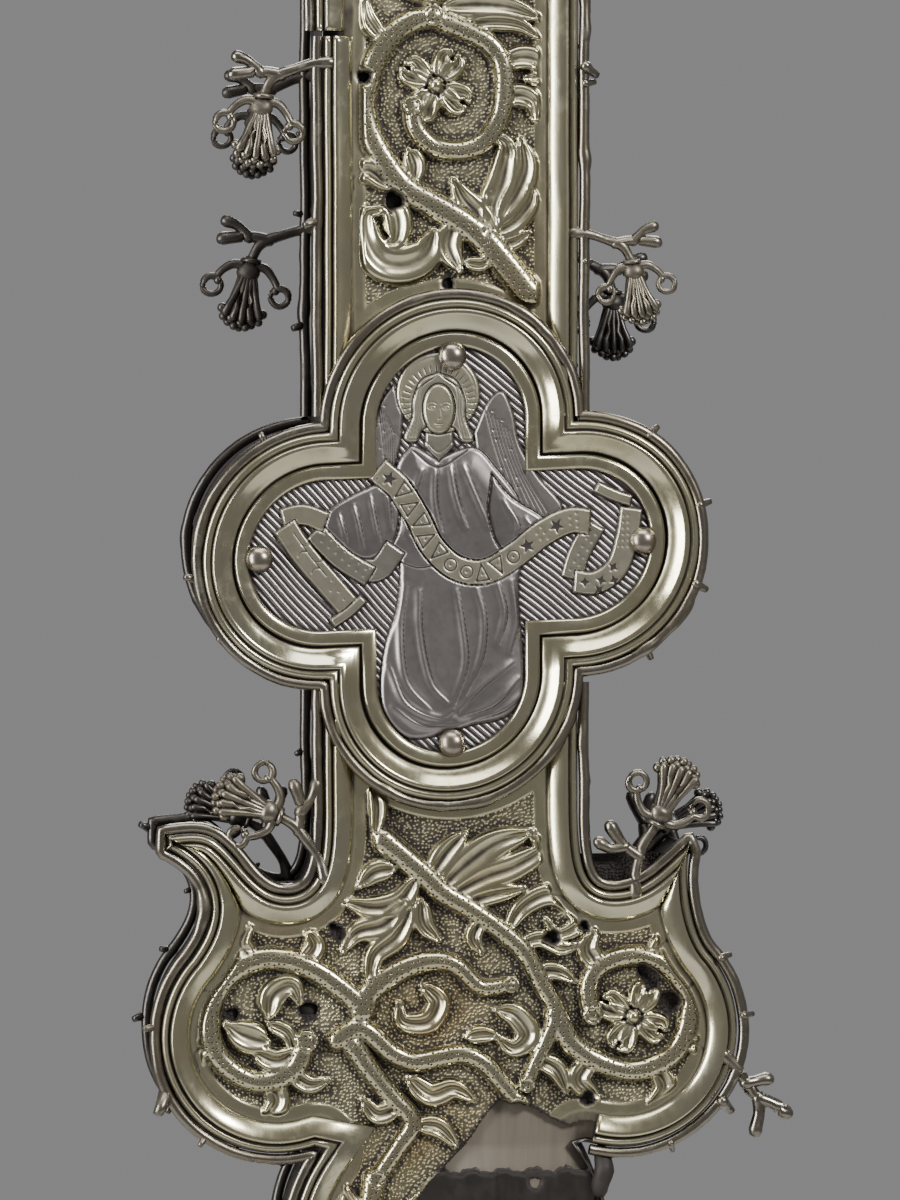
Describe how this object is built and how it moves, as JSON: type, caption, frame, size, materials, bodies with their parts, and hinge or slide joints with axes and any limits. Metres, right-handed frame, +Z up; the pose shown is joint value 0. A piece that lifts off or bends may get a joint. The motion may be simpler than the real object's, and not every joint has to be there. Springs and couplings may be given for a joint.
{
  "type": "processional cross",
  "caption": "Late Gothic style processional cross head: wooden core dressed in silver-gilt vine plates, mouldings, quatrefoil medallions and thistle crockets, on a knop and staff socket.",
  "frame": {"origin": "on the axis of the staff socket, in the plane of its mouth", "axes": "+Z up along the staff, front face towards -Y, +X to the right of the front view"},
  "size_m": [0.5788, 0.088, 0.7775],
  "materials": {
    "silver_gilt": "worn gilt over silver, dark in the hollows",
    "pale_gilt": "rubbed pale gilt, satin",
    "tarnished_gilt": "dark tarnished castings with rubbed edges",
    "engraved_silver": "engraved silver, dull grey, partly gilt",
    "dark_silver": "blackened silver sheet",
    "silver": "rubbed silver nails",
    "enamel": "dull blue enamel",
    "iron": "forged iron",
    "wood": "bare pale wood"
  },
  "bodies": {
    "socket": {"socket_tube": "silver_gilt", "socket_mouth_ring": "pale_gilt", "socket_band": "pale_gilt", "knop_lower_shell": "silver_gilt", "knop_upper_shell": "silver_gilt", "knop_girdle": "pale_gilt", "knop_bosses": "enamel", "knop_tube": "silver_gilt", "neck_collar": "pale_gilt"},
    "cross_head": {"core_upright": "wood", "core_crossbar": "wood", "tang": "iron", "tang_rivets": "silver", "foot_collar": "dark_silver", "front_plate_lower": "silver_gilt", "front_plate_right": "silver_gilt", "front_plate_upper": "silver_gilt", "front_plate_left": "silver_gilt", "back_plate_lower": "silver_gilt", "back_plate_right": "silver_gilt", "back_plate_upper": "silver_gilt", "back_plate_left": "silver_gilt", "front_moulding_lower": "pale_gilt", "front_moulding_right": "pale_gilt", "front_moulding_upper": "pale_gilt", "front_moulding_left": "pale_gilt", "back_moulding_lower": "pale_gilt", "back_moulding_right": "pale_gilt", "back_moulding_upper": "pale_gilt", "back_moulding_left": "pale_gilt", "side_strips_lower": "dark_silver", "side_strips_right": "dark_silver", "side_strips_upper": "dark_silver", "side_strips_left": "dark_silver", "medallion_plate_lower": "engraved_silver", "medallion_plate_right": "engraved_silver", "medallion_plate_upper": "engraved_silver", "medallion_plate_left": "engraved_silver", "medallion_frame_lower": "pale_gilt", "medallion_frame_right": "pale_gilt", "medallion_frame_upper": "pale_gilt", "medallion_frame_left": "pale_gilt", "medallion_rims": "pale_gilt", "back_medallion_plates": "engraved_silver", "back_medallion_frames": "pale_gilt", "back_medallion_rims": "pale_gilt", "crossing_plate_front": "silver_gilt", "crossing_frame_front": "pale_gilt", "crossing_rosette_front": "silver_gilt", "crossing_plate_back": "silver_gilt", "crossing_frame_back": "pale_gilt", "crossing_rosette_back": "silver_gilt", "crossing_strips": "dark_silver", "twig_rod_front": "tarnished_gilt", "twig_rod_back": "tarnished_gilt", "front_nails": "silver", "back_nails": "silver", "crockets_front": "tarnished_gilt", "crockets_back": "tarnished_gilt"}
  },
  "joints": [
    {"name": "head_lift", "type": "slide", "parent": "socket", "child": "cross_head", "axis": [0, 0, 1], "range_m": [0, 0.07]}
  ]
}
